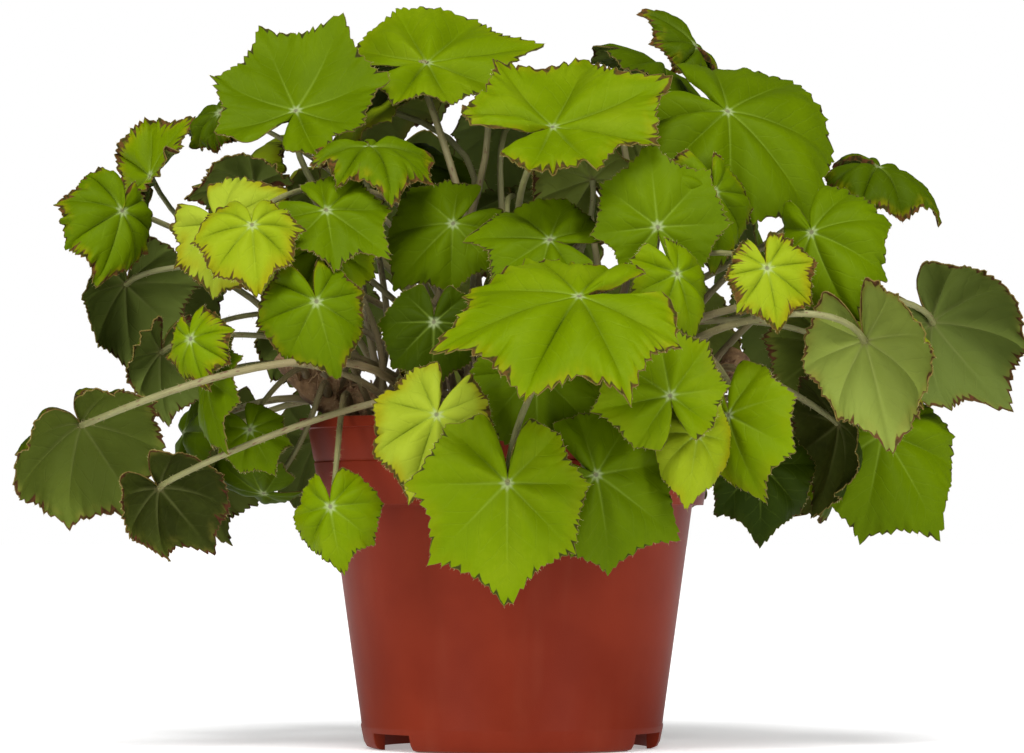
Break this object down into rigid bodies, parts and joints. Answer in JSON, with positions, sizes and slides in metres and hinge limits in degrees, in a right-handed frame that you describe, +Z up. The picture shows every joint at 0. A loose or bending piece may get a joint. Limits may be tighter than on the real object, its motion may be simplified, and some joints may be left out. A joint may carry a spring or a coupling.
{
  "type": "potted begonia",
  "caption": "Creeping begonia with lime, brown-toothed leaves on hairy stalks, spreading over the lip of a round terracotta-coloured plastic nursery pot.",
  "frame": {"origin": "on the floor, under the middle of the whole plant's box; the pot's axis stands 4.7 mm to the left of it and 16.6 mm behind it", "axes": "+Z up along the pot's axis, -Y towards the plant's front, +X to the right as seen from the front"},
  "size_m": [0.4192, 0.3386, 0.3163],
  "materials": {
    "pot_plastic": "satin moulded red-brown plastic",
    "potting_mix": "dark damp crumbly potting mix",
    "stem": "tan-brown scaly rhizome",
    "leaf": "soft satin lime leaf with brown teeth"
  },
  "bodies": {
    "root": {"pot": "pot_plastic", "soil": "potting_mix", "rhizome_front": "stem", "rhizome_back": "stem", "leaf_top_01": "leaf", "leaf_top_02": "leaf", "leaf_top_03": "leaf", "leaf_top_04": "leaf", "leaf_top_05": "leaf", "leaf_top_06": "leaf", "leaf_top_07": "leaf", "leaf_top_08": "leaf", "leaf_top_09": "leaf", "leaf_top_10": "leaf", "leaf_top_11": "leaf", "leaf_left_01": "leaf", "leaf_left_02": "leaf", "leaf_left_03": "leaf", "leaf_left_04": "leaf", "leaf_left_05": "leaf", "leaf_left_06": "leaf", "leaf_left_07": "leaf", "leaf_left_08": "leaf", "leaf_left_09": "leaf", "leaf_left_10": "leaf", "leaf_left_11": "leaf", "leaf_left_12": "leaf", "leaf_left_13": "leaf", "leaf_left_14": "leaf", "leaf_left_15": "leaf", "leaf_left_16": "leaf", "leaf_front_01": "leaf", "leaf_front_02": "leaf", "leaf_front_03": "leaf", "leaf_front_04": "leaf", "leaf_front_05": "leaf", "leaf_front_06": "leaf", "leaf_front_07": "leaf", "leaf_front_08": "leaf", "leaf_front_09": "leaf", "leaf_front_10": "leaf", "leaf_front_11": "leaf", "leaf_front_12": "leaf", "leaf_right_01": "leaf", "leaf_right_02": "leaf", "leaf_right_03": "leaf", "leaf_right_04": "leaf", "leaf_right_05": "leaf", "leaf_right_06": "leaf", "leaf_right_07": "leaf", "leaf_right_08": "leaf", "leaf_right_09": "leaf", "leaf_right_10": "leaf", "leaf_right_11": "leaf", "shoot_1": "leaf", "shoot_2": "leaf", "shoot_3": "leaf", "shoot_4": "leaf", "shoot_5": "leaf", "shoot_6": "leaf"}
  },
  "joints": []
}
